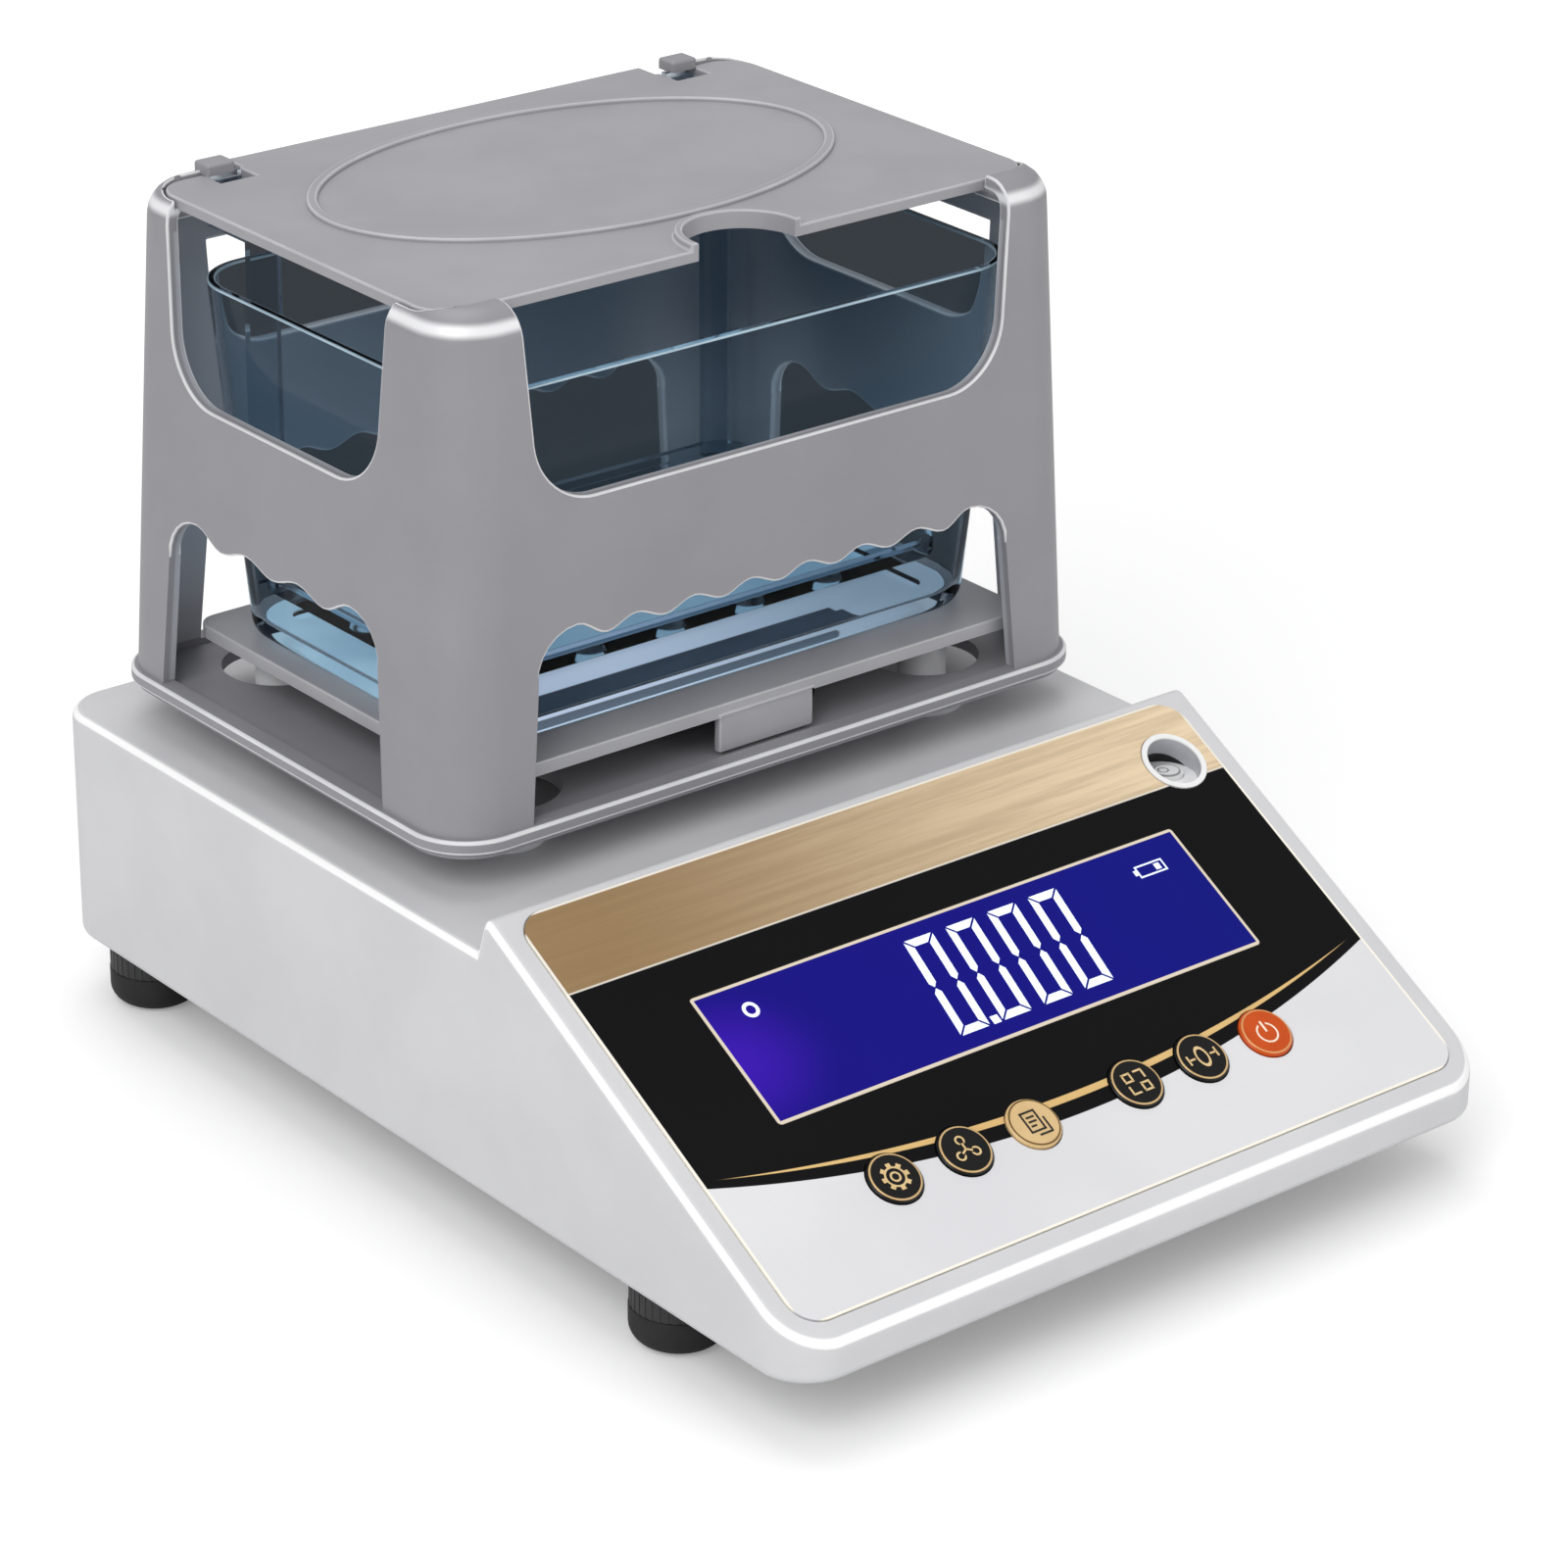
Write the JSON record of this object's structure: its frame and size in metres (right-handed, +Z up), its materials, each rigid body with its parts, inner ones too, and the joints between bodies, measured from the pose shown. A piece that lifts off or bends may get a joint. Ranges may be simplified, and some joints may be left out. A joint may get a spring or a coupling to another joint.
{
  "type": "electronic gold tester",
  "caption": "Bench density balance with a sloped keypad and display, feet, and a moulded weighing frame round a clear water tank.",
  "frame": {"origin": "on the table under the middle of the housing", "axes": "+X to the right of a person facing the panel, +Y from the panel to the back, +Z up"},
  "size_m": [0.194, 0.267, 0.1983],
  "materials": {
    "shell": "silver-white, smooth",
    "cover": "fine grain",
    "screw_steel": "plain",
    "overlay": "printed film",
    "display": "lit blue display",
    "circuit": "board",
    "switch_black": "moulded",
    "key_black": "smooth",
    "key_gold": "satin",
    "key_orange": "smooth",
    "level_white": "smooth",
    "vial": "clear",
    "battery": "plain",
    "port_metal": "plated",
    "cell_metal": "milled",
    "foot_rubber": "matt",
    "wheel_black": "ribbed",
    "frame_grey": "satin moulded",
    "basket_clear": "clear moulded",
    "pillar_white": "smooth",
    "platform_grey": "satin moulded",
    "tank_smoke": "smoked clear moulded"
  },
  "bodies": {
    "base": {"base_shell": "shell", "bottom_cover": "cover", "cover_screws": "screw_steel", "panel_overlay": "overlay", "display_lens": "display", "display_module": "circuit", "key_board": "circuit", "board_screws": "screw_steel", "key_switches": "switch_black", "level_bezel": "shell", "level_body": "level_white", "level_vial": "vial", "main_board": "circuit", "battery_pack": "battery", "dc_inlet": "switch_black", "data_port": "port_metal", "load_cell": "cell_metal", "cell_riser": "cell_metal", "cell_bolts": "screw_steel", "platform_pillars": "pillar_white", "tank_platform": "platform_grey"},
    "key_settings": {"key_settings": "key_black"},
    "key_function": {"key_function": "key_black"},
    "key_enter": {"key_enter": "key_gold"},
    "key_mode": {"key_mode": "key_black"},
    "key_zero": {"key_zero": "key_black"},
    "key_power": {"key_power": "key_orange"},
    "frame": {"weighing_frame": "frame_grey", "pan_hub": "cell_metal", "hub_bolts": "screw_steel", "pan_carrier": "cell_metal", "carrier_pads": "foot_rubber"},
    "plate": {"top_plate": "frame_grey"},
    "basket": {"water_basket": "basket_clear"},
    "tank": {"water_tank": "tank_smoke"},
    "pad_front_left": {"foot_pad_front_left": "foot_rubber"},
    "screw_front_left": {"foot_screw_front_left": "wheel_black"},
    "pad_front_right": {"foot_pad_front_right": "foot_rubber"},
    "screw_front_right": {"foot_screw_front_right": "wheel_black"},
    "pad_rear_left": {"foot_pad_rear_left": "foot_rubber"},
    "screw_rear_left": {"foot_screw_rear_left": "wheel_black"},
    "pad_rear_right": {"foot_pad_rear_right": "foot_rubber"},
    "screw_rear_right": {"foot_screw_rear_right": "wheel_black"}
  },
  "joints": [
    {"name": "press_settings", "type": "slide", "parent": "base", "child": "key_settings", "axis": [0, 0.4839, -0.8751], "range_m": [0, 0.0006], "stiffness_N_per_m": 2500},
    {"name": "press_function", "type": "slide", "parent": "base", "child": "key_function", "axis": [0, 0.4839, -0.8751], "range_m": [0, 0.0006], "stiffness_N_per_m": 2500},
    {"name": "press_enter", "type": "slide", "parent": "base", "child": "key_enter", "axis": [0, 0.4839, -0.8751], "range_m": [0, 0.0006], "stiffness_N_per_m": 2500},
    {"name": "press_mode", "type": "slide", "parent": "base", "child": "key_mode", "axis": [0, 0.4839, -0.8751], "range_m": [0, 0.0006], "stiffness_N_per_m": 2500},
    {"name": "press_zero", "type": "slide", "parent": "base", "child": "key_zero", "axis": [0, 0.4839, -0.8751], "range_m": [0, 0.0006], "stiffness_N_per_m": 2500},
    {"name": "press_power", "type": "slide", "parent": "base", "child": "key_power", "axis": [0, 0.4839, -0.8751], "range_m": [0, 0.0006], "stiffness_N_per_m": 2500},
    {"name": "weigh_sink", "type": "slide", "parent": "base", "child": "frame", "axis": [0, 0, -1], "range_m": [0, 0.0003], "stiffness_N_per_m": 20000, "springref_m": -0.0003, "deforming": ["load_cell"]},
    {"name": "plate_lift", "type": "slide", "parent": "frame", "child": "plate", "axis": [0, 0, 1], "range_m": [0, 0.1]},
    {"name": "basket_lift", "type": "slide", "parent": "plate", "child": "basket", "axis": [0, 0, 1], "range_m": [0, 0.004]},
    {"name": "tank_lift", "type": "slide", "parent": "base", "child": "tank", "axis": [0, 0, 1], "range_m": [0, 0.004]},
    {"name": "level_front_left", "type": "slide", "parent": "base", "child": "pad_front_left", "axis": [0, 0, -1], "range_m": [0, 0.003]},
    {"name": "turn_front_left", "type": "hinge", "parent": "pad_front_left", "child": "screw_front_left", "pos_m": [-0.084, -0.08, 0.01], "axis": [0, 0, 1], "range_deg": [0, 1080]},
    {"name": "level_front_right", "type": "slide", "parent": "base", "child": "pad_front_right", "axis": [0, 0, -1], "range_m": [0, 0.003]},
    {"name": "turn_front_right", "type": "hinge", "parent": "pad_front_right", "child": "screw_front_right", "pos_m": [0.084, -0.08, 0.01], "axis": [0, 0, 1], "range_deg": [0, 1080]},
    {"name": "level_rear_left", "type": "slide", "parent": "base", "child": "pad_rear_left", "axis": [0, 0, -1], "range_m": [0, 0.003]},
    {"name": "turn_rear_left", "type": "hinge", "parent": "pad_rear_left", "child": "screw_rear_left", "pos_m": [-0.084, 0.115, 0.01], "axis": [0, 0, 1], "range_deg": [0, 1080]},
    {"name": "level_rear_right", "type": "slide", "parent": "base", "child": "pad_rear_right", "axis": [0, 0, -1], "range_m": [0, 0.003]},
    {"name": "turn_rear_right", "type": "hinge", "parent": "pad_rear_right", "child": "screw_rear_right", "pos_m": [0.084, 0.115, 0.01], "axis": [0, 0, 1], "range_deg": [0, 1080]}
  ],
  "couplings": [
    {"joint": "turn_front_left", "follows": "level_front_left", "rad_per_m": 6283.2},
    {"joint": "turn_front_right", "follows": "level_front_right", "rad_per_m": 6283.2},
    {"joint": "turn_rear_left", "follows": "level_rear_left", "rad_per_m": 6283.2},
    {"joint": "turn_rear_right", "follows": "level_rear_right", "rad_per_m": 6283.2}
  ]
}
